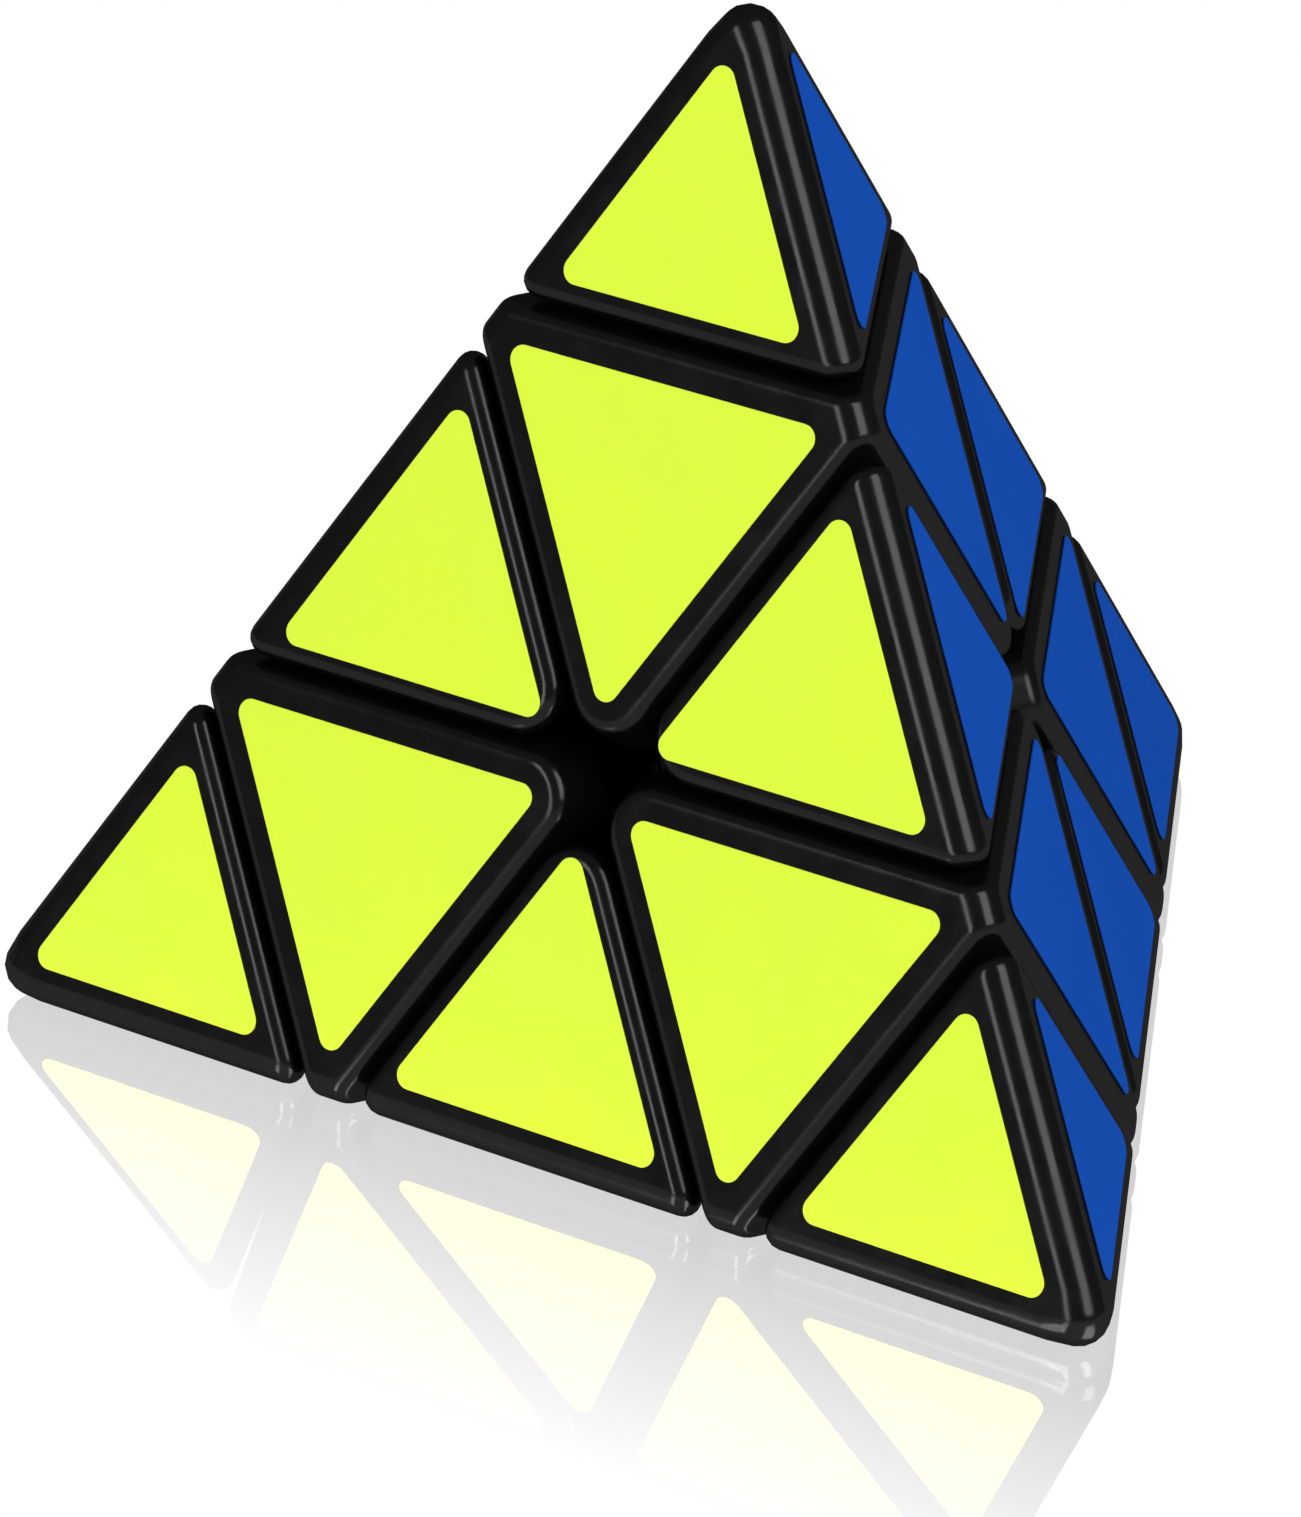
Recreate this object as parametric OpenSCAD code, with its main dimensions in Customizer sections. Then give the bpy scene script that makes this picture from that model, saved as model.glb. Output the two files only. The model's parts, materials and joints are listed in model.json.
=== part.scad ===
// A pyramid puzzle: four corner tips, four axial pieces and six edge pieces that turn
// about a spring-loaded core. Z runs up through the top corner and the origin is the
// centre of the core, where the four turning axes meet. Units are millimetres.

/* [Pyramid] */
// Sharp outer edge of the pyramid, before the corners are cut back
edge_length = 98; // [92:1:104]
// Share of the pyramid's height from its centre to the plane a layer turns on
layer_share = 0.086; // [0.084:0.0005:0.088]
// Share of the pyramid's height from its centre to the plane a tip turns on
tip_share = 0.427; // [0.417:0.001:0.435]
// Width of plastic that the rounding along each outer edge takes from each face
edge_round = 2.5; // [2:0.1:3.4]
// How far each corner of the pyramid is cut back from its sharp point
corner_cut = 4.3; // [4:0.1:6]
// How far the corners that meet at the middle of a face are cut back
hole_cut = 2.6; // [1.8:0.1:3]
// Size of the small bevel along the grooves
groove_bevel = 0.5; // [0.2:0.05:0.8]

/* [Clearances] */
// Gap between two pieces that turn past each other
gap = 0.4; // [0.3:0.05:0.5]
// Gap between metal parts that belong together
snug = 0.05; // [0.02:0.01:0.1]

/* [Stickers] */
// Thickness of a vinyl sticker
sticker_thickness = 0.15; // [0.1:0.05:0.5]
// Bare plastic between a sticker and a sharp outer edge
outer_margin = 3.6; // [3.2:0.1:4.2]
// Bare plastic between a sticker and the tip's groove
tip_margin = 2.4; // [1.6:0.1:3]
// Bare plastic between a sticker and a layer's groove
layer_margin = 2.2; // [1.6:0.1:3]
// Radius of a sticker's corners
sticker_corner = 1; // [0.6:0.1:2]

/* [Mechanism] */
// Radius of the ball on which the axial pieces slide over the edge pieces' feet
ball_radius = 14.5; // [14:0.1:14.8]
// Level above the centre of the underside of the edge pieces' feet
foot_level = 4.9; // [4.85:0.01:4.95]
// Radius of the tube under an axial piece
hub_radius = 6.3; // [6:0.1:6.4]
// Radius of the well that holds the spring
well_radius = 4.2; // [4.1:0.05:4.4]
// Thickness of the web that the spring presses on
web_thickness = 2; // [1.6:0.1:2.4]
// Radius of the body of the core
core_radius = 9; // [8.6:0.1:9.4]
// Radius of the core's four arms
arm_radius = 3.2; // [3:0.1:3.3]
// Radius of the screw's shank
shank_radius = 1.25; // [1.1:0.05:1.3]
// Radius of the screw's head
head_radius = 3; // [2.6:0.1:3.2]
// Wire of the spring
wire_radius = 0.3; // [0.2:0.05:0.35]
// Radius of the stem that carries a tip
stem_radius = 2.9; // [2.6:0.1:3]
// Wall of a tip's hollow cap
tip_wall = 2; // [1.6:0.1:2.4]

/* [Colours] */
plastic = [0.06, 0.06, 0.065]; // body plastic
core_plastic = [0.16, 0.16, 0.17]; // core and stem plastic
steel = [0.72, 0.73, 0.74]; // screws, springs and washers
lime = [0.76, 1, 0.07]; // front face
blue = [0.012, 0.07, 0.4]; // right face
green = [0.01, 0.36, 0.1]; // left face
red = [0.7, 0.02, 0.015]; // base face

/* [Hidden] */
$fn = 64;
height = edge_length * sqrt(2 / 3);
face_level = height / 4; // centre to each outer face
corner_level = 3 * height / 4; // centre to each sharp corner
layer_level = layer_share * height;
tip_level = tip_share * height;
tilt = acos(-1 / 3); // angle between two turning axes
lean = acos(1 / 3); // angle between a face and the base
reach = 2 * height; // larger than anything it cuts
overlap = 1; // how far a cut runs past what it cuts
half_gap = gap / 2;

// Unit vectors from the centre to the corners: top, left, right, back
TOP = [0, 0, 1];
LEFT = axis_at(210);
RIGHT = axis_at(330);
BACK = axis_at(90);
function axis_at(around) = [sin(tilt) * cos(around), sin(tilt) * sin(around), cos(tilt)];

// The rounding along an outer edge is an arc across the sum of its two corners' axes, and
// the arc meets each face at a slight angle
sharp_level = (corner_level - face_level) / norm(TOP + BACK);
chord_level = sharp_level - edge_round * sin(tilt / 2);
edge_blend = 8; // angle at which the arc meets a face
arc_half_angle = tilt / 2 - edge_blend;
edge_radius = edge_round * cos(tilt / 2) / sin(arc_half_angle);
arc_level = chord_level - edge_radius * cos(arc_half_angle);

// Levels on a face, measured from the middle of the face along the way to a corner
function on_face(level) = (level - face_level / 3) / sin(tilt);
outer_line = on_face(-face_level) + outer_margin;
layer_line = on_face(layer_level);
tip_line = on_face(tip_level);

// Small sizes of the mechanism
arm_play = 0.3; // between an arm or a stem and the bore round it
shank_play = 0.35; // between the screw's shank and the web
spring_play = 1.1; // between the screw's shank and the spring's wire
arm_length = 2.4; // of an arm inside its hub
spring_length = 7.5;
washer_thickness = 0.5;
washer_bore_play = 0.2;
washer_rim_play = 0.6;
head_height = 1.8;
head_edge = 0.5; // slope at the rim of the screw's head
slot_length = 3.2; // of the cross recess
slot_width = 0.6;
slot_depth = 0.9;
plate_thickness = 2; // of the plate under a tip
bead_height = 1; // of the bead that snaps in, and how far it stands out
bead_rise = 0.8;
stem_room = 1.2; // between a screw's head and a tip's stem
bead_room = 2.6; // for the stem's bead in the top of the well

// Heights along a turning axis, from the core outward
screw_foot = 1.6;
arm_foot = 3;
hub_foot = foot_level + half_gap;
arm_end = hub_foot + arm_length;
web_foot = arm_end + gap;
web_top = web_foot + web_thickness;
spring_foot = web_top + half_gap;
spring_top = spring_foot + spring_length;
washer_foot = spring_top + snug;
washer_top = washer_foot + washer_thickness;
head_foot = washer_top + snug;
head_top = head_foot + head_height;
stem_end = head_top + stem_room;
well_top = stem_end + bead_room;
tip_floor = tip_level + half_gap;

// ---- Cutting tools ----

// Turns the Z axis onto a direction
module towards(direction) {
    rotate([0, acos(direction[2] / norm(direction)), atan2(direction[1], direction[0])])
        children();
}

// Everything farther out along a direction than a level
module beyond(direction, level) {
    towards(direction)
        translate([-reach, -reach, level])
            cube([2 * reach, 2 * reach, reach]);
}

// What the rounding takes off the sharp edge between two corners
module edge_waste(a, b) {
    out = (a + b) / norm(a + b);
    difference() {
        beyond(out, chord_level);
        translate(arc_level * out)
            towards(a - b)
                cylinder(r = edge_radius, h = 2 * reach, center = true);
    }
}

// A solid ball with everything beyond each [direction, level] plane cut off
module cut_by(planes) {
    difference() {
        sphere(corner_level - corner_cut, $fn = 128);
        for (plane = planes) {
            beyond(plane[0], plane[1]);
        }
    }
}

// The plane that bevels the edge between two [direction, level] planes
function bevel(a, b, size) = [
    (a[0] + b[0]) / norm(a[0] + b[0]),
    (a[1] + b[1] - size) / norm(a[0] + b[0])
];

// The planes of an outer face and of a groove's walls
function face_of(far_corner) = [-far_corner, face_level];
function wall_above(axis, level) = [-axis, -level - half_gap];
function wall_below(axis, level) = [axis, level - half_gap];

// Rounds off a sharp corner that points from a centre along a direction
module dome_off(centre, direction, length, cut) {
    dome = 3 * cut;
    side = 5 * cut;
    translate(centre)
        towards(direction)
            difference() {
                translate([-side / 2, -side / 2, length - 1.9 * cut])
                    cube([side, side, 2.5 * cut]);
                translate([0, 0, length - cut - dome])
                    sphere(dome);
            }
}

// ---- Placing: shapes are drawn for the top corner and turned to the others ----

module at_top() {
    children();
}

module at_left() {
    rotate([0, tilt, 210])
        rotate([0, 0, 90])
            children();
}

module at_right() {
    rotate([0, 0, 120])
        at_left()
            children();
}

module at_back() {
    rotate([0, 0, 240])
        at_left()
            children();
}

module each_corner() {
    at_top() children();
    at_left() children();
    at_right() children();
    at_back() children();
}

module third(turns) {
    rotate([0, 0, 120 * turns])
        children();
}

// ---- Moulded pieces ----

// The outside of the top tip, before its outer edges are rounded, set in by a wall
module tip_solid(inset, floor) {
    faces = [for (far = [LEFT, RIGHT, BACK]) [-far, face_level - inset]];
    ground = [-TOP, -floor];
    bevels = [for (face = faces) bevel(face, ground, groove_bevel)];
    cut_by(concat(faces, [ground], bevels));
}

// The hollow in a tip's cap, closed below by the stem's plate
module tip_hollow(fit) {
    difference() {
        tip_solid(tip_wall + fit, tip_floor - overlap);
        beyond(TOP, corner_level - corner_cut - 4 * tip_wall);
    }
}

module tip_cap() {
    difference() {
        tip_solid(0, tip_floor);
        tip_hollow(0);
        for (near = [LEFT, RIGHT, BACK]) {
            edge_waste(TOP, near);
        }
    }
}

// The plate inside a tip and the stem that snaps into the axial piece
module tip_stem() {
    plate_top = tip_floor + plate_thickness;
    difference() {
        tip_hollow(snug);
        beyond(TOP, plate_top);
        beyond(-TOP, -tip_floor);
    }
    translate([0, 0, stem_end])
        cylinder(r = stem_radius, h = plate_top - stem_end);
    translate([0, 0, stem_end])
        cylinder(r1 = stem_radius, r2 = stem_radius + bead_rise, h = bead_height);
    translate([0, 0, stem_end + bead_height])
        cylinder(r1 = stem_radius + bead_rise, r2 = stem_radius, h = bead_rise);
}

// The octahedral piece under a tip, with the tube that turns on the core's arm
module axial() {
    middle = (layer_level + tip_level) / 2;
    hole_reach = (tip_level - layer_level) * sqrt(3) / 2;
    faces = [for (far = [LEFT, RIGHT, BACK]) face_of(far)];
    walls = concat(
        [for (side = [LEFT, RIGHT, BACK]) wall_below(side, layer_level)],
        [wall_below(TOP, tip_level)]
    );
    bevels = [for (face = faces, wall = walls) if (face[0] != -wall[0]) bevel(face, wall, groove_bevel)];
    hole_corners = [
        for (far = [LEFT, RIGHT, BACK])
            let (out = -(TOP + far) / norm(TOP + far))
            [out, middle * out[2] + hole_reach - hole_cut]
    ];
    difference() {
        union() {
            difference() {
                cut_by(concat(faces, walls, [wall_above(TOP, layer_level)], bevels, hole_corners));
                rotate([0, 90, 0])
                    rotate([0, 0, 90])
                        sphere(ball_radius + half_gap);
                for (near = [LEFT, RIGHT, BACK]) {
                    edge_waste(TOP, near);
                }
            }
            translate([0, 0, hub_foot])
                cylinder(r = hub_radius, h = ball_radius + overlap - hub_foot);
        }
        translate([0, 0, hub_foot - overlap])
            cylinder(r = arm_radius + arm_play, h = web_foot - hub_foot + overlap);
        translate([0, 0, web_foot - overlap])
            cylinder(r = shank_radius + shank_play, h = web_thickness + 2 * overlap);
        translate([0, 0, web_top])
            cylinder(r = well_radius, h = well_top - web_top);
        translate([0, 0, well_top - overlap])
            cylinder(r = stem_radius + arm_play, h = tip_level - well_top + 2 * overlap);
    }
}

// The tetrahedral piece between the top and back corners, with the foot that holds it in
module edge_piece() {
    faces = [face_of(LEFT), face_of(RIGHT)];
    walls = [for (end = [TOP, BACK]) wall_above(end, layer_level)];
    bevels = [for (face = faces, wall = walls) bevel(face, wall, groove_bevel)];
    outward = (TOP + BACK) / norm(TOP + BACK);
    side = (RIGHT - LEFT) / norm(RIGHT - LEFT);
    middle = (layer_level * sqrt(3) + sharp_level) / 2 * outward;
    difference() {
        cut_by(concat(faces, walls, bevels));
        for (far = [LEFT, RIGHT]) {
            arm = -face_level * far - middle;
            dome_off(middle, arm / norm(arm), norm(arm), hole_cut);
        }
        edge_waste(TOP, BACK);
    }
    difference() {
        sphere(ball_radius - half_gap);
        for (end = [TOP, BACK]) {
            beyond(-end, -foot_level - half_gap);
        }
        for (hand = [-1, 1]) {
            beyond(hand * side, hub_radius);
        }
    }
}

// ---- Core and hardware ----

module core_ball() {
    difference() {
        union() {
            difference() {
                towards(TOP + BACK)
                    rotate([0, 0, 45])
                        sphere(core_radius);
                for (axis = [TOP, LEFT, RIGHT, BACK]) {
                    beyond(axis, foot_level - gap);
                }
            }
            each_corner()
                translate([0, 0, arm_foot])
                    rotate([0, 0, 60])
                        cylinder(r = arm_radius, h = arm_end - arm_foot);
        }
        each_corner()
            translate([0, 0, screw_foot])
                cylinder(r = shank_radius + snug, h = arm_end);
    }
}

// Pan head screw with a cross recess
module axis_screw() {
    rim_foot = head_top - head_edge;
    difference() {
        union() {
            translate([0, 0, screw_foot + snug])
                cylinder(r = shank_radius, h = head_foot - screw_foot);
            translate([0, 0, head_foot])
                cylinder(r = head_radius, h = rim_foot - head_foot);
            translate([0, 0, rim_foot])
                cylinder(r1 = head_radius, r2 = head_radius - head_edge, h = head_edge);
        }
        for (quarter = [0, 90]) {
            rotate([0, 0, quarter])
                translate([-slot_length / 2, -slot_width / 2, head_top - slot_depth])
                    cube([slot_length, slot_width, slot_depth + overlap]);
        }
    }
}

module spring_washer() {
    translate([0, 0, washer_foot])
        difference() {
            cylinder(r = well_radius - washer_rim_play, h = washer_thickness);
            translate([0, 0, -overlap])
                cylinder(r = shank_radius + washer_bore_play, h = washer_thickness + 2 * overlap);
        }
}

// Open coil spring drawn as a helix of wire
module tension_spring() {
    coils = 5;
    steps = 12; // round one coil
    sides = 6; // round the wire
    radius = shank_radius + spring_play;
    rise = spring_top - spring_foot - 2 * wire_radius;
    last = coils * steps;
    points = [
        for (i = [0:last], j = [0:sides - 1])
            let (turn = 360 * i / steps, round_wire = 360 * j / sides,
                out = radius + wire_radius * cos(round_wire))
            [
                out * cos(turn),
                out * sin(turn),
                spring_foot + wire_radius * (1 + sin(round_wire)) + rise * i / last
            ]
    ];
    skin = [
        for (i = [0:last - 1], j = [0:sides - 1])
            let (k = (j + 1) % sides)
            [sides * i + j, sides * i + k, sides * (i + 1) + k, sides * (i + 1) + j]
    ];
    start = [[for (j = [sides - 1:-1:0]) j]];
    end = [[for (j = [0:sides - 1]) sides * last + j]];
    polyhedron(points, concat(skin, start, end));
}

// ---- Stickers: drawn on the front face of the top corner ----

// Ways to the top, left and right corners in the plane of the front face
UP = [0, 1];
DOWN_LEFT = [-sin(60), -cos(60)];
DOWN_RIGHT = [sin(60), -cos(60)];

// A triangle with round corners whose sides lie at these levels along the three ways
module sticker(up_level, left_level, right_level) {
    ways = [UP, DOWN_LEFT, DOWN_RIGHT];
    levels = [up_level, left_level, right_level];
    inset = (up_level + left_level + right_level) / 3;
    way_out = sign(inset);
    middle = 2 / 3 * (levels * ways);
    corners = [for (way = ways) middle - 2 * (inset - way_out * sticker_corner) * way];
    outline = [
        for (i = [0:2], step = [1, 2])
            corners[i] + way_out * sticker_corner * ways[(i + step) % 3]
    ];
    rotate([lean, 0, 0])
        translate([0, 0, face_level])
            linear_extrude(sticker_thickness)
                union() {
                    polygon(outline);
                    for (corner = corners) {
                        translate(corner)
                            circle(sticker_corner);
                    }
                }
}

module tip_sticker() {
    sticker(tip_line + tip_margin, outer_line, outer_line);
}

module axial_sticker() {
    sticker(tip_line - tip_margin, layer_line - layer_margin, layer_line - layer_margin);
}

// On the edge piece between the top and left corners
module edge_sticker() {
    sticker(layer_line + layer_margin, layer_line + layer_margin, outer_line);
}

// ---- Nodes ----

module core() {
    color(core_plastic)
        core_ball();
}

module axis_screws() {
    color(steel)
        each_corner()
            axis_screw();
}

module tension_springs() {
    color(steel)
        each_corner()
            tension_spring();
}

module spring_washers() {
    color(steel)
        each_corner()
            spring_washer();
}

module tip_cap_top() {
    color(plastic)
        at_top()
            tip_cap();
}

module tip_stem_top() {
    color(core_plastic)
        at_top()
            tip_stem();
}

module axial_top() {
    color(plastic)
        at_top()
            axial();
}

module tip_cap_left() {
    color(plastic)
        at_left()
            tip_cap();
}

module tip_stem_left() {
    color(core_plastic)
        at_left()
            tip_stem();
}

module axial_left() {
    color(plastic)
        at_left()
            axial();
}

module tip_cap_right() {
    color(plastic)
        at_right()
            tip_cap();
}

module tip_stem_right() {
    color(core_plastic)
        at_right()
            tip_stem();
}

module axial_right() {
    color(plastic)
        at_right()
            axial();
}

module tip_cap_back() {
    color(plastic)
        at_back()
            tip_cap();
}

module tip_stem_back() {
    color(core_plastic)
        at_back()
            tip_stem();
}

module axial_back() {
    color(plastic)
        at_back()
            axial();
}

module edge_top_left() {
    color(plastic)
        at_top()
            third(1)
                edge_piece();
}

module edge_top_right() {
    color(plastic)
        at_top()
            third(2)
                edge_piece();
}

module edge_top_back() {
    color(plastic)
        at_top()
            third(0)
                edge_piece();
}

module edge_left_right() {
    color(plastic)
        at_left()
            third(2)
                edge_piece();
}

module edge_left_back() {
    color(plastic)
        at_left()
            third(1)
                edge_piece();
}

module edge_right_back() {
    color(plastic)
        at_right()
            third(2)
                edge_piece();
}

module lime_tip_top() {
    color(lime)
        at_top()
            third(0)
                tip_sticker();
}

module lime_axial_top() {
    color(lime)
        at_top()
            third(0)
                axial_sticker();
}

module lime_tip_left() {
    color(lime)
        at_left()
            third(1)
                tip_sticker();
}

module lime_axial_left() {
    color(lime)
        at_left()
            third(1)
                axial_sticker();
}

module lime_tip_right() {
    color(lime)
        at_right()
            third(2)
                tip_sticker();
}

module lime_axial_right() {
    color(lime)
        at_right()
            third(2)
                axial_sticker();
}

module lime_edge_top_left() {
    color(lime)
        at_top()
            third(0)
                edge_sticker();
}

module lime_edge_top_right() {
    color(lime)
        at_right()
            third(2)
                edge_sticker();
}

module lime_edge_left_right() {
    color(lime)
        at_left()
            third(1)
                edge_sticker();
}

module blue_tip_top() {
    color(blue)
        at_top()
            third(1)
                tip_sticker();
}

module blue_axial_top() {
    color(blue)
        at_top()
            third(1)
                axial_sticker();
}

module blue_tip_right() {
    color(blue)
        at_right()
            third(1)
                tip_sticker();
}

module blue_axial_right() {
    color(blue)
        at_right()
            third(1)
                axial_sticker();
}

module blue_tip_back() {
    color(blue)
        at_back()
            third(2)
                tip_sticker();
}

module blue_axial_back() {
    color(blue)
        at_back()
            third(2)
                axial_sticker();
}

module blue_edge_top_right() {
    color(blue)
        at_top()
            third(1)
                edge_sticker();
}

module blue_edge_top_back() {
    color(blue)
        at_back()
            third(2)
                edge_sticker();
}

module blue_edge_right_back() {
    color(blue)
        at_right()
            third(1)
                edge_sticker();
}

module green_tip_top() {
    color(green)
        at_top()
            third(2)
                tip_sticker();
}

module green_axial_top() {
    color(green)
        at_top()
            third(2)
                axial_sticker();
}

module green_tip_left() {
    color(green)
        at_left()
            third(2)
                tip_sticker();
}

module green_axial_left() {
    color(green)
        at_left()
            third(2)
                axial_sticker();
}

module green_tip_back() {
    color(green)
        at_back()
            third(1)
                tip_sticker();
}

module green_axial_back() {
    color(green)
        at_back()
            third(1)
                axial_sticker();
}

module green_edge_top_left() {
    color(green)
        at_left()
            third(2)
                edge_sticker();
}

module green_edge_top_back() {
    color(green)
        at_top()
            third(2)
                edge_sticker();
}

module green_edge_left_back() {
    color(green)
        at_back()
            third(1)
                edge_sticker();
}

module red_tip_left() {
    color(red)
        at_left()
            third(0)
                tip_sticker();
}

module red_axial_left() {
    color(red)
        at_left()
            third(0)
                axial_sticker();
}

module red_tip_right() {
    color(red)
        at_right()
            third(0)
                tip_sticker();
}

module red_axial_right() {
    color(red)
        at_right()
            third(0)
                axial_sticker();
}

module red_tip_back() {
    color(red)
        at_back()
            third(0)
                tip_sticker();
}

module red_axial_back() {
    color(red)
        at_back()
            third(0)
                axial_sticker();
}

module red_edge_left_right() {
    color(red)
        at_right()
            third(0)
                edge_sticker();
}

module red_edge_left_back() {
    color(red)
        at_left()
            third(0)
                edge_sticker();
}

module red_edge_right_back() {
    color(red)
        at_back()
            third(0)
                edge_sticker();
}

core();
axis_screws();
tension_springs();
spring_washers();
tip_cap_top();
tip_stem_top();
axial_top();
tip_cap_left();
tip_stem_left();
axial_left();
tip_cap_right();
tip_stem_right();
axial_right();
tip_cap_back();
tip_stem_back();
axial_back();
edge_top_left();
edge_top_right();
edge_top_back();
edge_left_right();
edge_left_back();
edge_right_back();
lime_tip_top();
lime_axial_top();
lime_tip_left();
lime_axial_left();
lime_tip_right();
lime_axial_right();
lime_edge_top_left();
lime_edge_top_right();
lime_edge_left_right();
blue_tip_top();
blue_axial_top();
blue_tip_right();
blue_axial_right();
blue_tip_back();
blue_axial_back();
blue_edge_top_right();
blue_edge_top_back();
blue_edge_right_back();
green_tip_top();
green_axial_top();
green_tip_left();
green_axial_left();
green_tip_back();
green_axial_back();
green_edge_top_left();
green_edge_top_back();
green_edge_left_back();
red_tip_left();
red_axial_left();
red_tip_right();
red_axial_right();
red_tip_back();
red_axial_back();
red_edge_left_right();
red_edge_left_back();
red_edge_right_back();
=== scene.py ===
"""The looks of a pyramid twisty puzzle: rounded black mouldings, vinyl stickers and hardware
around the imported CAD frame. Units are metres and Z is up. Each kind of piece is made once, at
the top corner, and turned from there to its other places."""

import itertools
import json
import math

import bmesh
import bpy
import numpy as np
from mathutils import Matrix, Vector
from mathutils.kdtree import KDTree


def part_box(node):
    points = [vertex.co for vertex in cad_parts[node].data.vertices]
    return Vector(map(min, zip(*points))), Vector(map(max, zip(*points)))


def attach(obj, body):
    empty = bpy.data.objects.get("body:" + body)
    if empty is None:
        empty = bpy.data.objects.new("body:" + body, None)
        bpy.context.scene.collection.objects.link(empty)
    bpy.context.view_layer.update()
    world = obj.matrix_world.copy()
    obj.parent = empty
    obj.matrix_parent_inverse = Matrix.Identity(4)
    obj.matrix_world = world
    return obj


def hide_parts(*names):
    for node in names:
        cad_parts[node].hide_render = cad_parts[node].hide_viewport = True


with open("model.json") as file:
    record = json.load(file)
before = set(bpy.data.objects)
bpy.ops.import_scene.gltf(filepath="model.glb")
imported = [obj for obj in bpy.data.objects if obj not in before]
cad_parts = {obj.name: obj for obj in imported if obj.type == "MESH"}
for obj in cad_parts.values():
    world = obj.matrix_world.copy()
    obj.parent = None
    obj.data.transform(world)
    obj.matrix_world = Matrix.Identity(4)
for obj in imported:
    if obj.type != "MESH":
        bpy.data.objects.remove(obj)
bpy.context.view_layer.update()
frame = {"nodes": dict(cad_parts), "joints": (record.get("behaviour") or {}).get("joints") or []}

MM = 0.001
CORNERS = ("top", "left", "right", "back")
EDGES = tuple(itertools.combinations(CORNERS, 2))
FAR_CORNER = {"lime": "back", "blue": "left", "green": "right", "red": "top"}
JOINTS = {joint["name"]: joint for joint in frame["joints"]}
AXIS = {c: np.array(JOINTS[f"{c}_layer_turn"]["axis"], float) for c in CORNERS}
TOP = AXIS["top"]

# Levels along the turning axes, read off the CAD pieces
FLOOR_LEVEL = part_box("red_axial_back")[0].z
FACE_LEVEL = -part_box("red_axial_back")[1].z
CORNER_LEVEL = 3 * FACE_LEVEL
STICKER_TOP = -FLOOR_LEVEL
TIP_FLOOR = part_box("tip_cap_top")[0].z
AXIAL_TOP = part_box("axial_top")[1].z
HUB_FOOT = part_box("axial_top")[0].z
GAP = TIP_FLOOR - AXIAL_TOP
TIP_LEVEL = (TIP_FLOOR + AXIAL_TOP) / 2

# The layers turn on a plane this share of the pyramid's height above the middle
LAYER_SHARE = 0.086
LAYER_LEVEL = LAYER_SHARE * (CORNER_LEVEL + FACE_LEVEL)

# Roundings of the mouldings, and the steps they are drawn in
OUTER_ROUND = 1.95 * MM
CORNER_ROUND = 2.16 * MM
CORNER_RUNOUT = 1.5 * MM
HOLE_ROUND = 3.3 * MM
GROOVE_ROUND = 1.15 * MM
FAN_STEPS = 9
ROUND_STEPS = 6
RIM_STEPS = 3

# Inside: the ball that the feet and the axial pieces share, the hubs, their bores, and the tips
BALL_RADIUS = 14.5 * MM
HUB_RADIUS = 6.3 * MM
ARM_BORE = 3.5 * MM
SHANK_BORE = 1.6 * MM
WELL_RADIUS = 4.2 * MM
STEM_BORE = 3.2 * MM
WEB_FOOT = 7.9 * MM
WEB_TOP = 9.9 * MM
WELL_TOP = 23.8 * MM
TIP_WALL = 2 * MM
TIP_HOLLOW_TOP = 47.7 * MM

# Bare plastic round the stickers, and the stickers' own roundings and rim
OUTER_MARGIN = 3.6 * MM
TIP_MARGIN = 2.4 * MM
LAYER_MARGIN = 2.2 * MM
STICKER_CORNER = 1.0 * MM
STICKER_ROUND = 0.4 * (STICKER_TOP - FACE_LEVEL)
STICKER_RIM = 0.18 * MM

# How near counts as touching, in metres
SAME_POINT = 1e-6
ON_PLANE = 2e-7
OUTSIDE_PLANE = 1e-8
ON_SKIN = 2e-6
MERGE = 0.0001 * MM

# How well directions have to agree: least cosines, the least determinant of three planes that
# meet in a point, and the widest angle between faces that still become one polygon
SAME_WAY = 0.99
SAME_SURFACE = 0.95
SKIN_LEAN = 0.8
BALL_LEAN = 0.996
MEETING = 1e-6
FLAT_ANGLE = math.radians(0.2)

# Camera: where it is seen from the middle of the puzzle, and how far it is moved sideways
VIEW_AZIMUTH = math.radians(36.05)
VIEW_ELEVATION = math.radians(25.97)
VIEW_ROLL = math.radians(-0.6)
VIEW_DISTANCE = 681.4 * MM
VIEW_RIGHT = 7.05 * MM
VIEW_DOWN = 0.2 * MM
VIEW_LENS = 235.6
BACK_WAY = np.array([
    math.sin(VIEW_AZIMUTH) * math.cos(VIEW_ELEVATION),
    -math.cos(VIEW_AZIMUTH) * math.cos(VIEW_ELEVATION),
    math.sin(VIEW_ELEVATION),
])

# Light, and how the floor mirrors the puzzle
WORLD_LIGHT = 0.25
LIGHT_DISTANCE = 600 * MM
STRIP_LENGTH = 600 * MM
FLOOR_HALF = 3000 * MM
MIRROR_SHARE = 0.36
MIRROR_REACH = 28 * MM
MIRROR_SPILL = MIRROR_REACH / 5


# ---- Directions and turns ----


def unit(v):
    """The vector at length one."""
    return np.asarray(v, float) / np.linalg.norm(v)


def arc_between(a, b, count):
    """Unit vectors from a to b at even angles, both ends included."""
    angle = math.acos(np.clip(np.dot(a, b), -1, 1))
    return [
        (math.sin((1 - t) * angle) * a + math.sin(t * angle) * b) / math.sin(angle)
        for t in np.linspace(0, 1, count + 1)
    ]


def turn_about(axis, degrees):
    """A turn about an axis through the middle of the puzzle, as a numpy matrix."""
    return np.array(Matrix.Rotation(math.radians(degrees), 3, Vector(axis)))


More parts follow.
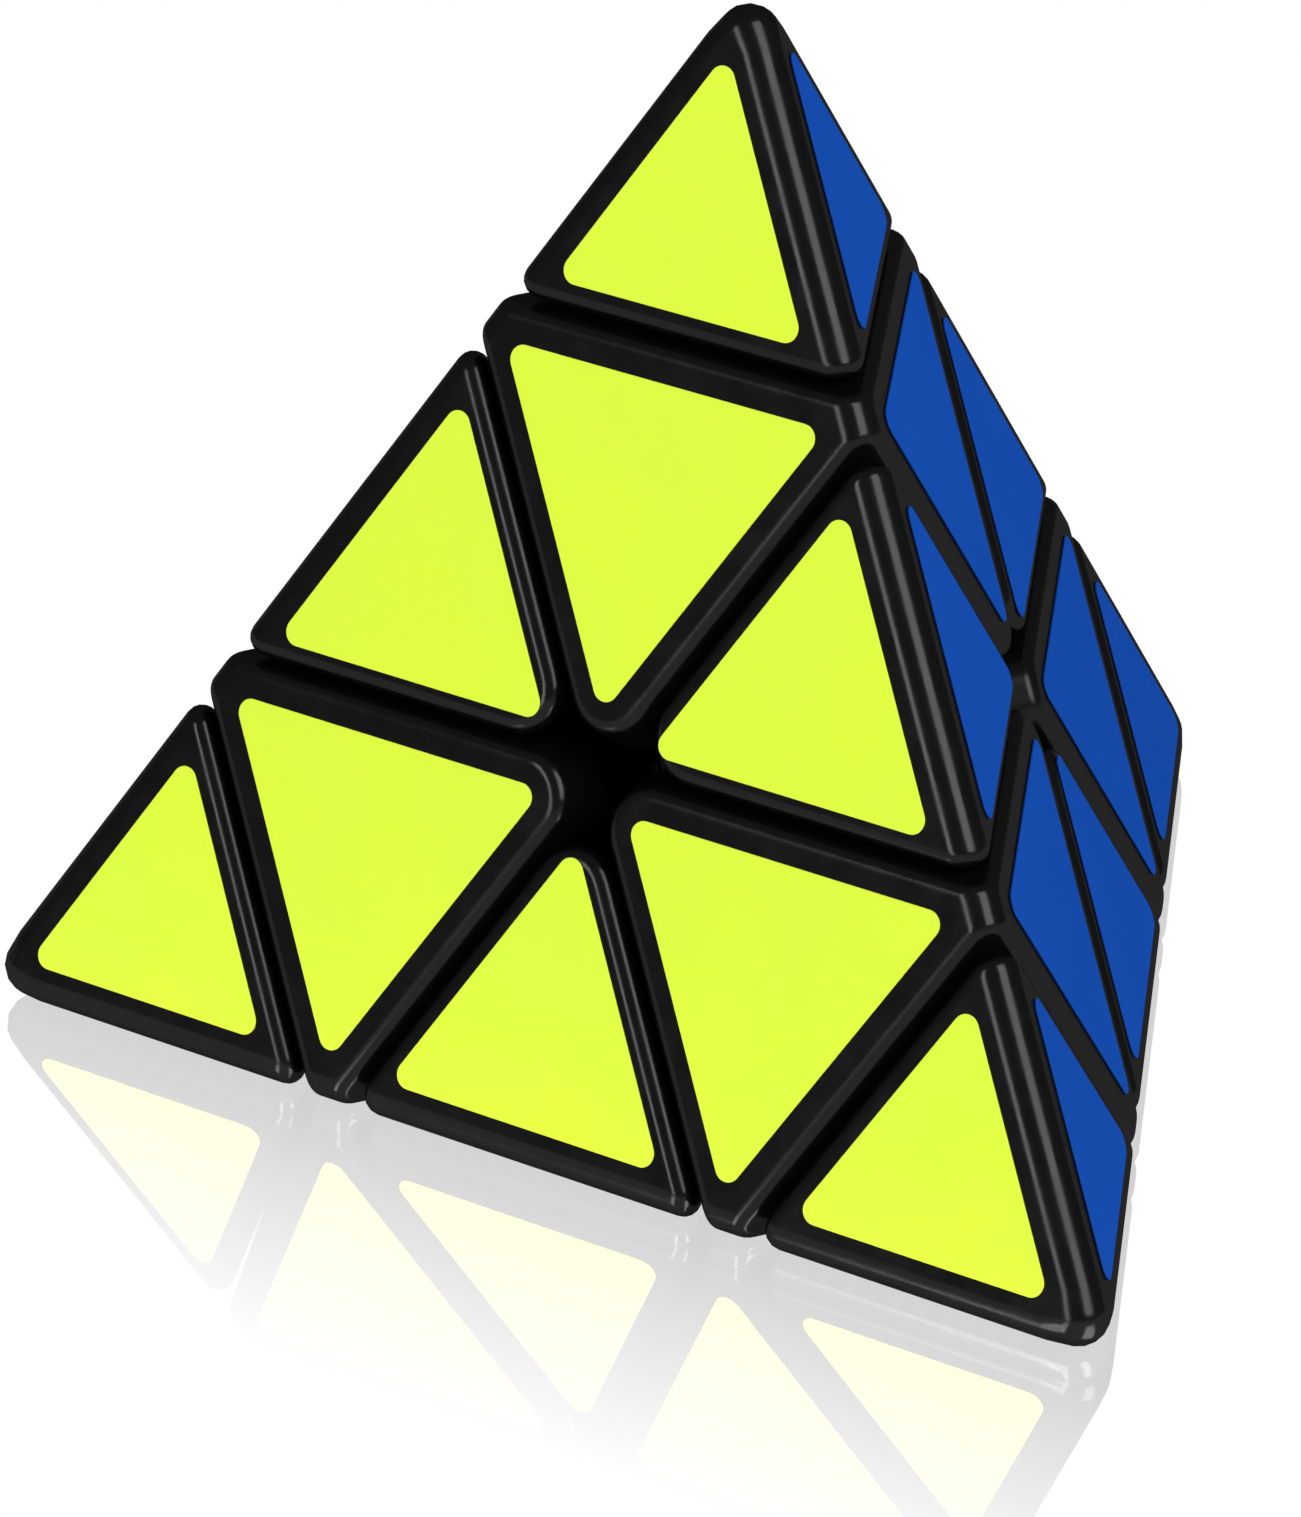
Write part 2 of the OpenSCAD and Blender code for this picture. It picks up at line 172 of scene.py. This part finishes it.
def all_turns():
    """The turns that lay the pyramid onto itself."""
    thirds = [turn_about(TOP, 120 * n) for n in range(3)]
    tilts = [np.eye(3)] + [turn_about(AXIS[c], 120) for c in ("left", "right", "back")]
    return [tilt @ third for tilt in tilts for third in thirds]


TURNS = all_turns()


def turn_to(**places):
    """The turn that takes each named corner to the given one, or None if it takes a mirror."""
    for turn in TURNS:
        if all(np.dot(turn @ AXIS[a], AXIS[b]) > SAME_WAY for a, b in places.items()):
            return turn
    return None


# ---- Planes, each as (outward normal, level) ----


def face_plane(far, inset=0.0):
    """The outer face opposite a corner."""
    return (-AXIS[far], FACE_LEVEL - inset)


def wall_below(corner, level):
    """A groove wall with its piece below a level on a turning axis."""
    return (AXIS[corner], level - GAP / 2)


def wall_above(corner, level):
    """A groove wall with its piece above a level on a turning axis."""
    return (-AXIS[corner], -level - GAP / 2)


def inset_by(planes, radius):
    """The planes moved inward by a radius."""
    return [(normal, level - radius) for normal, level in planes]


def fan(a, b, axis, at, radius):
    """Narrow planes that round the corner where a and b meet, seen along an axis.
    The radius is right at the level `at` on the axis; the planes keep the walls' lean."""
    lean = np.dot(a[0], axis)
    across = math.sqrt(1 - lean * lean)
    flat_a = unit(a[0] - lean * axis)
    flat_b = unit(b[0] - lean * axis)
    corner = np.linalg.solve([a[0], b[0], axis], [a[1], b[1], at])
    centre = corner - radius * (flat_a + flat_b) / (1 + np.dot(flat_a, flat_b))
    ways = arc_between(flat_a, flat_b, FAN_STEPS)
    planes = []
    for way, following in itertools.pairwise(ways):
        ruling = across * axis - lean * way
        normal = unit(np.cross(following - way, ruling))
        normal = normal * math.copysign(1, np.dot(normal, way))
        planes.append((normal, np.dot(normal, centre + radius * way)))
    return planes


# ---- Rounded solids: lists of (point, normal) pairs whose hull is the solid ----


def meeting_points(planes):
    """The corners of the solid inside the planes, each with the indices of its planes."""
    normals = np.array([plane[0] for plane in planes])
    levels = np.array([plane[1] for plane in planes])
    trios = np.array(list(itertools.combinations(range(len(planes)), 3)))
    trios = trios[np.abs(np.linalg.det(normals[trios])) > MEETING]
    points = np.linalg.solve(normals[trios], levels[trios][:, :, None])[:, :, 0]
    inside = (points @ normals.T <= levels + OUTSIDE_PLANE).all(axis=1)
    found = []
    for point in points[inside]:
        if all(np.linalg.norm(point - known) > SAME_POINT for known, _ in found):
            found.append((point, np.where(normals @ point > levels - ON_PLANE)[0]))
    return found


def smooth_ways(touching, normals, hard_count):
    """One normal for each smooth surface at a corner; narrow planes join those beside them."""
    groups = []
    for index in touching:
        near = [g for g in groups if any(normals[index] @ normals[i] > SAME_SURFACE for i in g)]
        groups = [g for g in groups if not any(g is n for n in near)]
        groups.append([index] + [i for g in near for i in g])
    ways = []
    for group in groups:
        hard = [i for i in group if i < hard_count]
        ways += [normals[i] for i in hard] if hard else [unit(normals[group].sum(axis=0))]
    return ways


def ball_patch(ways, steps):
    """Directions that cover the part of a ball between the given normals."""
    if len(ways) == 1:
        return ways
    if len(ways) == 2:
        return arc_between(*ways, steps)
    middle = unit(sum(ways))
    side = unit(np.cross(middle, ways[0]))
    other = np.cross(middle, side)
    ways = sorted(ways, key=lambda w: math.atan2(w @ other, w @ side))
    patch = [middle]
    for way, following in zip(ways, ways[1:] + ways[:1]):
        for rim in arc_between(way, following, steps)[:-1]:
            patch += arc_between(rim, middle, max(2, steps // 2))[:-1]
    return patch


def rounded_pairs(hard, soft, radius, steps=ROUND_STEPS):
    """The solid inside its hard planes and, set in by the radius already, its soft ones."""
    planes = inset_by(hard, radius) + soft
    normals = np.array([plane[0] for plane in planes])
    pairs = []
    for point, touching in meeting_points(planes):
        for way in ball_patch(smooth_ways(touching, normals, len(hard)), steps):
            pairs.append((point + radius * way, way))
    return pairs


def tip_pairs():
    """The top tip: a ball at the corner, three rounded edges and a rounded floor."""
    radius = GROOVE_ROUND
    faces = [-AXIS[c] for c in CORNERS[1:]]
    # A ball that touches all three faces sits three radii below their sharp corner
    centre = TOP * (CORNER_LEVEL - 3 * CORNER_ROUND)
    edge_centre = TOP * (CORNER_LEVEL - 3 * OUTER_ROUND)
    pairs = []
    for a, b in itertools.combinations(faces, 2):
        along = unit(np.cross(a, b))
        along = along * -math.copysign(1, along @ TOP)
        run = along * ((centre - edge_centre) @ along + CORNER_RUNOUT)
        for way in arc_between(a, b, FAN_STEPS):
            pairs.append((centre + CORNER_ROUND * way, way))
            pairs.append((edge_centre + run + OUTER_ROUND * way, way))
            start = edge_centre + (OUTER_ROUND - radius) * way
            foot = start + along * (TIP_FLOOR + radius - start @ TOP) / (along @ TOP)
            for turned in arc_between(way, -TOP, ROUND_STEPS):
                pairs.append((foot + radius * turned, turned))
    for i, j in itertools.product(range(1, FAN_STEPS), repeat=2):
        if i + j < FAN_STEPS:
            way = unit(i * faces[0] + j * faces[1] + (FAN_STEPS - i - j) * faces[2])
            pairs.append((centre + CORNER_ROUND * way, way))
    return pairs


def outer_fan(far_a, far_b, radius):
    """The rounding along the outer edge between the faces opposite two corners."""
    a, b = inset_by([face_plane(far_a), face_plane(far_b)], radius)
    return fan(a, b, unit(np.cross(a[0], b[0])), 0, OUTER_ROUND - radius)


def hole_fan(wall_a, wall_b, far, radius):
    """The rounding beside the hole in the middle of a face."""
    a, b, face = inset_by([wall_a, wall_b, face_plane(far)], radius)
    return fan(a, b, face[0], face[1], HOLE_ROUND - radius)


def axial_pairs():
    """The octahedral piece under the top tip."""
    radius = GROOVE_ROUND
    sides = CORNERS[1:]
    walls = {side: wall_below(side, LAYER_LEVEL) for side in sides}
    hard = [face_plane(far) for far in sides] + list(walls.values())
    hard += [wall_below("top", TIP_LEVEL), wall_above("top", LAYER_LEVEL)]
    soft = []
    for far in sides:
        a, b = [side for side in sides if side != far]
        soft += outer_fan(a, b, radius)
        soft += hole_fan(walls[a], walls[b], far, radius)
    return rounded_pairs(hard, soft, radius)


def edge_pairs():
    """The tetrahedral piece between the top and back corners."""
    radius = GROOVE_ROUND
    walls = [wall_above(end, LAYER_LEVEL) for end in ("top", "back")]
    soft = outer_fan("left", "right", radius)
    for far in ("left", "right"):
        soft += hole_fan(*walls, far, radius)
    return rounded_pairs([face_plane("left"), face_plane("right")] + walls, soft, radius)


# ---- Stickers, drawn on the face opposite the back corner ----


def on_face(level):
    """Where a level on a turning axis cuts the outer face, from the middle of the face."""
    return (level - FACE_LEVEL / 3) / math.sqrt(8 / 9)


def sticker_pairs(signs, lines):
    """A sticker bounded by three lines that face the top, left and right corners."""
    face = -AXIS["back"]
    sides = []
    for corner, sign, line in zip(("top", "left", "right"), signs, lines):
        way = unit(AXIS[corner] - (AXIS[corner] @ face) * face)
        sides.append((sign * way, sign * line))
    plates = [(face, STICKER_TOP), (-face, -FACE_LEVEL)]
    soft = []
    for a, b in itertools.combinations(inset_by(sides, STICKER_ROUND), 2):
        soft += fan(a, b, face, 0, STICKER_CORNER - STICKER_ROUND)
    return rounded_pairs(plates + sides, soft, STICKER_ROUND, RIM_STEPS)


def tip_sticker_pairs():
    """The triangle on a tip, narrow end up."""
    outer = on_face(-FACE_LEVEL) + OUTER_MARGIN
    return sticker_pairs((-1, -1, -1), (on_face(TIP_LEVEL) + TIP_MARGIN, outer, outer))


def axial_sticker_pairs():
    """The triangle on an axial piece, narrow end down."""
    side = on_face(LAYER_LEVEL) - LAYER_MARGIN
    return sticker_pairs((1, 1, 1), (on_face(TIP_LEVEL) - TIP_MARGIN, side, side))


def edge_sticker_pairs():
    """The triangle on an edge piece between the top and left corners."""
    side = on_face(LAYER_LEVEL) + LAYER_MARGIN
    return sticker_pairs((-1, -1, -1), (side, side, on_face(-FACE_LEVEL) + OUTER_MARGIN))


# ---- Meshes ----


def to_data(name, mesh):
    """A mesh datablock from a bmesh, which is used up."""
    data = bpy.data.meshes.new(name)
    bmesh.ops.recalc_face_normals(mesh, faces=mesh.faces)
    mesh.to_mesh(data)
    mesh.free()
    return data


def hull_mesh(name, pairs):
    """The hull of the pairs' points, flat areas as one polygon each."""
    mesh = bmesh.new()
    for point, _ in pairs:
        mesh.verts.new(Vector(point) / MM)
    bmesh.ops.remove_doubles(mesh, verts=mesh.verts, dist=MERGE / MM)
    hull = bmesh.ops.convex_hull(mesh, input=mesh.verts)
    spare = set(hull["geom_interior"]) | set(hull["geom_unused"])
    spare = [v for v in spare if isinstance(v, bmesh.types.BMVert)]
    bmesh.ops.delete(mesh, geom=spare, context="VERTS")
    bmesh.ops.dissolve_limit(mesh, angle_limit=FLAT_ANGLE, verts=mesh.verts, edges=mesh.edges)
    bmesh.ops.scale(mesh, vec=(MM, MM, MM), verts=mesh.verts)
    return to_data(name, mesh)


def turned_mesh(name, profile, segments=64):
    """A solid turned about the Z axis from (radius, level) points that start and end on it."""
    mesh = bmesh.new()
    rings = []
    for radius, level in profile:
        count = segments if radius > 0 else 1
        turns = [2 * math.pi * i / segments for i in range(count)]
        ring = [mesh.verts.new((radius * math.cos(t), radius * math.sin(t), level)) for t in turns]
        rings.append(ring * segments if count == 1 else ring)
    for low, high in itertools.pairwise(rings):
        for i in range(segments):
            j = (i + 1) % segments
            loop = list(dict.fromkeys([low[i], low[j], high[j], high[i]]))
            mesh.faces.new(loop)
    return to_data(name, mesh)


def ball_mesh(name, radius, planes=()):
    """A ball with everything beyond each plane cut off."""
    mesh = bmesh.new()
    bmesh.ops.create_uvsphere(mesh, u_segments=96, v_segments=48, radius=radius)
    for normal, level in planes:
        geometry = mesh.verts[:] + mesh.edges[:] + mesh.faces[:]
        cut = bmesh.ops.bisect_plane(
            mesh,
            geom=geometry,
            plane_co=Vector(normal * level),
            plane_no=Vector(normal),
            clear_outer=True,
        )
        rim = [e for e in cut["geom_cut"] if isinstance(e, bmesh.types.BMEdge)]
        bmesh.ops.edgenet_fill(mesh, edges=rim)
    return to_data(name, mesh)


def combined(data, operation, tool):
    """The mesh cut by, or joined to, a tool mesh."""
    piece = bpy.data.objects.new("work", data)
    helper = bpy.data.objects.new("tool", tool)
    for obj in (piece, helper):
        bpy.context.scene.collection.objects.link(obj)
    modifier = piece.modifiers.new("combine", "BOOLEAN")
    modifier.operation = operation
    modifier.object = helper
    modifier.solver = "EXACT"
    graph = bpy.context.evaluated_depsgraph_get()
    result = bpy.data.meshes.new_from_object(piece.evaluated_get(graph))
    for obj in (piece, helper):
        bpy.data.objects.remove(obj)
    return result


def shaded(data, pairs):
    """Smooth normals: those of the pairs on the moulded outside, and true ones on cut faces."""
    tree = KDTree(len(pairs))
    for index, (point, _) in enumerate(pairs):
        tree.insert(Vector(point), index)
    tree.balance()
    data.shade_smooth()
    normals = [None] * len(data.loops)
    for polygon in data.polygons:
        flat = polygon.normal
        for loop in polygon.loop_indices:
            spot = data.vertices[data.loops[loop].vertex_index].co
            _, index, distance = tree.find(spot)
            way = Vector(pairs[index][1])
            radial = spot.normalized()
            if distance < ON_SKIN and way.dot(flat) > SKIN_LEAN:
                normals[loop] = way
            elif abs(radial.dot(flat)) > BALL_LEAN:
                normals[loop] = radial * math.copysign(1, radial.dot(flat))
            else:
                normals[loop] = flat.copy()
    data.normals_split_custom_set(normals)
    return data


def tip_mesh():
    """The hollow cap of the top tip."""
    pairs = tip_pairs()
    walls = [face_plane(far, TIP_WALL) for far in CORNERS[1:]]
    ends = [(-TOP, MM - TIP_FLOOR), (TOP, TIP_HOLLOW_TOP)]
    hollow = hull_mesh("hollow", [(p, None) for p, _ in meeting_points(walls + ends)])
    return shaded(combined(hull_mesh("tip", pairs), "DIFFERENCE", hollow), pairs)


def axial_mesh():
    """The axial piece with its ball-shaped hollow, its hub and the bore along its axis."""
    pairs = axial_pairs()
    hub_top = BALL_RADIUS + MM
    outline = [(0, HUB_FOOT), (HUB_RADIUS, HUB_FOOT), (HUB_RADIUS, hub_top), (0, hub_top)]
    ball = ball_mesh("ball", BALL_RADIUS + GAP / 2)
    shell = combined(hull_mesh("axial", pairs), "DIFFERENCE", ball)
    whole = combined(shell, "UNION", turned_mesh("hub", outline))
    bore = turned_mesh("bore", bore_profile())
    return shaded(combined(whole, "DIFFERENCE", bore), pairs)


def bore_profile():
    """The bore for the core's arm, the screw's shank, the spring's well and the tip's stem."""
    steps = [
        (ARM_BORE, HUB_FOOT - MM, WEB_FOOT),
        (SHANK_BORE, WEB_FOOT, WEB_TOP),
        (WELL_RADIUS, WEB_TOP, WELL_TOP),
        (STEM_BORE, WELL_TOP, AXIAL_TOP + MM),
    ]
    sides = [point for radius, low, high in steps for point in ((radius, low), (radius, high))]
    return [(0, HUB_FOOT - MM)] + sides + [(0, AXIAL_TOP + MM)]


def edge_mesh():
    """The edge piece with the foot that the axial pieces hold in."""
    pairs = edge_pairs()
    side = unit(AXIS["right"] - AXIS["left"])
    cuts = [(-AXIS[end], -HUB_FOOT) for end in ("top", "back")]
    cuts += [(side, HUB_RADIUS), (-side, HUB_RADIUS)]
    foot = ball_mesh("foot", BALL_RADIUS - GAP / 2, cuts)
    return shaded(combined(hull_mesh("edge", pairs), "UNION", foot), pairs)


def sticker_mesh(pairs):
    """A sticker whose cut rim and a thin band round its top take a brighter colour of their own, a
    painted highlight.
    """
    data = hull_mesh("sticker", pairs)
    mesh = bmesh.new()
    mesh.from_mesh(data)
    outward = Vector(-AXIS["back"])
    printed = max(mesh.faces, key=lambda face: face.normal.dot(outward))
    bmesh.ops.inset_individual(mesh, faces=[printed], thickness=STICKER_RIM)
    # The band round the printed face and the cut sides take the second material, a brighter colour
    # painted on as a highlight
    for face in mesh.faces:
        face.material_index = 0 if face is printed else 1
    mesh.to_mesh(data)
    mesh.free()
    return shaded(data, pairs)


# ---- Materials ----


def new_material(name, colour, roughness, **inputs):
    """A principled material; returns it with its node tree and shader."""
    material = bpy.data.materials.new(name)
    material.use_nodes = True
    tree = material.node_tree
    shader = tree.nodes["Principled BSDF"]
    shader.inputs["Base Color"].default_value = (*colour, 1)
    shader.inputs["Roughness"].default_value = roughness
    for key, value in inputs.items():
        shader.inputs[key.replace("_", " ")].default_value = value
    return material, tree, shader


def noise(tree, scale, detail=4.0):
    """A noise pattern over the piece's own coordinates."""
    coordinates = tree.nodes.new("ShaderNodeTexCoord")
    pattern = tree.nodes.new("ShaderNodeTexNoise")
    pattern.inputs["Scale"].default_value = scale
    pattern.inputs["Detail"].default_value = detail
    tree.links.new(coordinates.outputs["Object"], pattern.inputs["Vector"])
    return pattern.outputs["Fac"]


def vary(tree, source, target, low, high):
    """Drives a number on a shader between two values with a pattern."""
    spread = tree.nodes.new("ShaderNodeMapRange")
    spread.inputs["From Min"].default_value = 0.3
    spread.inputs["From Max"].default_value = 0.7
    spread.inputs["To Min"].default_value = low
    spread.inputs["To Max"].default_value = high
    tree.links.new(source, spread.inputs["Value"])
    tree.links.new(spread.outputs["Result"], target)


def tint(tree, source, target, colours, stops=(0.4, 0.65)):
    """Drives a colour on a shader between two colours with a pattern."""
    ramp = tree.nodes.new("ShaderNodeValToRGB")
    for element, stop, colour in zip(ramp.color_ramp.elements, stops, colours):
        element.position = stop
        element.color = (*colour, 1)
    tree.links.new(source, ramp.inputs["Fac"])
    tree.links.new(ramp.outputs["Color"], target)


def bump(tree, source, shader, depth):
    """A fine relief from a pattern, with its depth in metres."""
    relief = tree.nodes.new("ShaderNodeBump")
    relief.inputs["Strength"].default_value = 0.5
    relief.inputs["Distance"].default_value = depth
    tree.links.new(source, relief.inputs["Height"])
    tree.links.new(relief.outputs["Normal"], shader.inputs["Normal"])


def sheen(tree, shader, share, roughness):
    """Lays an even gloss over a shader, the same at every angle, and returns its node."""
    gloss = tree.nodes.new("ShaderNodeBsdfGlossy")
    gloss.inputs["Roughness"].default_value = roughness
    blend = tree.nodes.new("ShaderNodeMixShader")
    blend.inputs["Fac"].default_value = share
    tree.links.new(shader.outputs["BSDF"], blend.inputs[1])
    tree.links.new(gloss.outputs["BSDF"], blend.inputs[2])
    tree.links.new(blend.outputs["Shader"], tree.nodes["Material Output"].inputs["Surface"])
    shader.inputs["Specular IOR Level"].default_value = 0.0
    return gloss


def black_plastic():
    """Satin black moulded plastic with a fine grain."""
    material, tree, shader = new_material("black_plastic", (0.002, 0.002, 0.0022), 0.5)
    gloss = sheen(tree, shader, share=0.02, roughness=0.2)
    vary(tree, noise(tree, scale=420), gloss.inputs["Roughness"], low=0.16, high=0.26)
    bump(tree, noise(tree, scale=2600, detail=2), gloss, depth=0.01 * MM)
    return material


def core_plastic():
    """Matt dark grey plastic for the core."""
    material, tree, shader = new_material("core_plastic", (0.03, 0.03, 0.032), 0.5)
    vary(tree, noise(tree, scale=300), shader.inputs["Roughness"], low=0.42, high=0.6)
    return material


def steel():
    """Bright zinc-plated steel for the screws, springs and washers."""
    material, tree, shader = new_material("steel", (0.62, 0.62, 0.6), 0.28, Metallic=1.0)
    vary(tree, noise(tree, scale=900), shader.inputs["Roughness"], low=0.2, high=0.4)
    return material


def vinyl(name, colour, warm, rim):
    """A sticker's printed vinyl, and a brighter colour at its cut rim that is a painted highlight.
    """
    material, tree, shader = new_material(name, colour, 0.6)
    sheen(tree, shader, share=0.006, roughness=0.3)
    tint(tree, noise(tree, scale=90, detail=3), shader.inputs["Base Color"], (colour, warm))
    bump(tree, noise(tree, scale=700, detail=2), shader, depth=0.01 * MM)
    # The rim colour, brighter than the vinyl and without gloss, is a painted highlight along the
    # sticker's cut edge
    rim_highlight_material, _, rim_highlight_shader = new_material(f"{name}_rim", rim, 0.6)
    rim_highlight_shader.inputs["Specular IOR Level"].default_value = 0.0
    return material, rim_highlight_material


BLACK = black_plastic()
CORE = core_plastic()
STEEL = steel()

# Each colour in three shades: plain, the warmer patches and the cut rim, which is lighter as a
# painted highlight
SHADES = {
    "lime": ((0.545, 0.725, 0.045), (0.565, 0.725, 0.04), (0.75, 0.8, 0.06)),
    "blue": ((0.003, 0.055, 0.335), (0.0035, 0.058, 0.345), (0.006, 0.08, 0.42)),
    "green": ((0.01, 0.36, 0.07), (0.012, 0.38, 0.07), (0.02, 0.45, 0.08)),
    "red": ((0.62, 0.012, 0.012), (0.65, 0.015, 0.012), (0.75, 0.03, 0.02)),
}
VINYL = {colour: vinyl(f"{colour}_vinyl", *shades) for colour, shades in SHADES.items()}


# ---- Placing the pieces ----


def place(source, name, turn, body, node, slot, materials):
    """A turned copy of a mesh that stands for one CAD node."""
    data = source.copy()
    data.transform(Matrix(turn.tolist()).to_4x4())
    data.materials.clear()
    for material in materials:
        data.materials.append(material)
    piece = bpy.data.objects.new(name, data)
    bpy.context.scene.collection.objects.link(piece)
    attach(piece, body)
    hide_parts(node)


def place_mouldings():
    """The tips, axial pieces and edge pieces."""
    tip, axial, edge = tip_mesh(), axial_mesh(), edge_mesh()
    finish = ("black_plastic", [BLACK])
    for c in CORNERS:
        turn = turn_to(top=c)
        place(tip, f"tip_shell_{c}", turn, f"{c}_tip", f"tip_cap_{c}", *finish)
        place(axial, f"axial_shell_{c}", turn, f"{c}_axial", f"axial_{c}", *finish)
    for a, b in EDGES:
        turn = turn_to(top=a, back=b)
        place(edge, f"edge_shell_{a}_{b}", turn, f"{a}_{b}_edge", f"edge_{a}_{b}", *finish)


def place_stickers():
    """The nine stickers of each colour."""
    tip = sticker_mesh(tip_sticker_pairs())
    axial = sticker_mesh(axial_sticker_pairs())
    edge = sticker_mesh(edge_sticker_pairs())
    for colour, far in FAR_CORNER.items():
        finish = (f"{colour}_vinyl", VINYL[colour])
        for c in CORNERS:
            if c != far:
                turn = turn_to(top=c, back=far)
                for kind, mesh in (("tip", tip), ("axial", axial)):
                    node = f"{colour}_{kind}_{c}"
                    place(mesh, f"sticker_{node}", turn, f"{c}_{kind}", node, *finish)
        for a, b in EDGES:
            if far not in (a, b):
                turn = turn_to(top=a, left=b, back=far)
                if turn is None:
                    turn = turn_to(top=b, left=a, back=far)
                node = f"{colour}_edge_{a}_{b}"
                place(edge, f"sticker_{node}", turn, f"{a}_{b}_edge", node, *finish)


def finish_hardware():
    """The finishes of the CAD nodes that stay in view."""
    finishes = {"core": CORE}
    finishes.update({node: STEEL for node in ("axis_screws", "tension_springs", "spring_washers")})
    finishes.update({f"tip_stem_{c}": BLACK for c in CORNERS})
    for node, material in finishes.items():
        data = frame["nodes"][node].data
        data.materials.clear()
        data.materials.append(material)


# ---- Floor, light and camera ----


def set_at(spot, right, up, out):
    """The matrix of a thing at a spot, with its own X, Y and Z along three directions."""
    return Matrix.Translation(spot) @ Matrix(np.column_stack([right, up, out]).tolist()).to_4x4()


def add_camera():
    """The camera, a long lens from the front right and above."""
    level_right = unit(np.cross((0, 0, 1), BACK_WAY))
    level_up = np.cross(BACK_WAY, level_right)
    cos, sin = math.cos(VIEW_ROLL), math.sin(VIEW_ROLL)
    right = cos * level_right + sin * level_up
    up = cos * level_up - sin * level_right
    eye = VIEW_DISTANCE * BACK_WAY - VIEW_RIGHT * right + VIEW_DOWN * up
    data = bpy.data.cameras.new("camera")
    data.lens = VIEW_LENS
    data.sensor_width = 36
    data.clip_start = 0.01
    camera = bpy.data.objects.new("camera", data)
    bpy.context.scene.collection.objects.link(camera)
    camera.matrix_world = set_at(eye, right, up, BACK_WAY)
    bpy.context.scene.camera = camera


def strip_light(name, way, along, width, power):
    """A soft strip light that faces the puzzle from one direction, long along another."""
    data = bpy.data.lights.new(name, "AREA")
    data.shape = "RECTANGLE"
    data.size = width
    data.size_y = STRIP_LENGTH
    data.energy = power
    light = bpy.data.objects.new(name, data)
    bpy.context.scene.collection.objects.link(light)
    out = unit(way)
    high = unit(along - (along @ out) * out)
    light.matrix_world = set_at(LIGHT_DISTANCE * out, np.cross(high, out), high, out)


def add_lights():
    """Two strips beside the edge that faces the camera, each a bright line on its rounding."""
    edge_way = unit(TOP - AXIS["right"])
    strip_light("front_strip", (-0.17, -0.92, 0.36), edge_way, 150 * MM, 2.2)
    strip_light("side_strip", (0.74, -0.14, 0.65), edge_way, 300 * MM, 3.6)


def reach_fade(tree, far, reach, share):
    """A number that falls from a share to nothing within a reach out from a base edge."""
    spot = tree.nodes.new("ShaderNodeNewGeometry")
    out = tree.nodes.new("ShaderNodeVectorMath")
    out.operation = "DOT_PRODUCT"
    out.inputs[1].default_value = unit((-AXIS[far][0], -AXIS[far][1], 0))
    tree.links.new(spot.outputs["Position"], out.inputs[0])
    fade = tree.nodes.new("ShaderNodeMapRange")
    base_edge = on_face(CORNER_LEVEL) / 2
    fade.inputs["From Min"].default_value = base_edge
    fade.inputs["From Max"].default_value = base_edge + reach
    fade.inputs["To Min"].default_value = share
    fade.inputs["To Max"].default_value = 0.0
    tree.links.new(out.outputs["Value"], fade.inputs["Value"])
    return fade.outputs["Result"]


def floor_material():
    """White floor that mirrors the puzzle faintly beside its base and loses it farther out."""
    material = bpy.data.materials.new("floor")
    material.use_nodes = True
    tree = material.node_tree
    tree.nodes.clear()
    glow = tree.nodes.new("ShaderNodeEmission")
    glow.inputs["Color"].default_value = (1, 1, 1, 1)
    glow.inputs["Strength"].default_value = 1.0
    mirror = tree.nodes.new("ShaderNodeBsdfGlossy")
    mirror.inputs["Roughness"].default_value = 0.02
    whiteness = 1 / WORLD_LIGHT  # so that the mirrored surroundings are as white as the floor
    mirror.inputs["Color"].default_value = (whiteness, whiteness, whiteness, 1)
    ahead = reach_fade(tree, "back", MIRROR_REACH, MIRROR_SHARE)
    beside = reach_fade(tree, "left", MIRROR_SPILL, 1)
    both = tree.nodes.new("ShaderNodeMath")
    both.operation = "MULTIPLY"
    tree.links.new(ahead, both.inputs[0])
    tree.links.new(beside, both.inputs[1])
    blend = tree.nodes.new("ShaderNodeMixShader")
    tree.links.new(both.outputs["Value"], blend.inputs["Fac"])
    tree.links.new(glow.outputs["Emission"], blend.inputs[1])
    tree.links.new(mirror.outputs["BSDF"], blend.inputs[2])
    output = tree.nodes.new("ShaderNodeOutputMaterial")
    tree.links.new(blend.outputs["Shader"], output.inputs["Surface"])
    return material


def add_floor():
    """The floor, which the base stickers rest on."""
    mesh = bmesh.new()
    bmesh.ops.create_grid(mesh, x_segments=1, y_segments=1, size=FLOOR_HALF)
    floor = bpy.data.objects.new("floor", to_data("floor", mesh))
    floor.location.z = FLOOR_LEVEL
    floor.data.materials.append(floor_material())
    bpy.context.scene.collection.objects.link(floor)


def add_world():
    """Even white surroundings."""
    world = bpy.data.worlds.new("world")
    world.use_nodes = True
    backdrop = world.node_tree.nodes["Background"]
    backdrop.inputs["Color"].default_value = (1, 1, 1, 1)
    backdrop.inputs["Strength"].default_value = WORLD_LIGHT
    bpy.context.scene.world = world
    bpy.context.scene.view_settings.view_transform = "Standard"


# ---- The whole scene ----

place_mouldings()
place_stickers()
finish_hardware()
add_camera()
add_floor()
add_world()
add_lights()
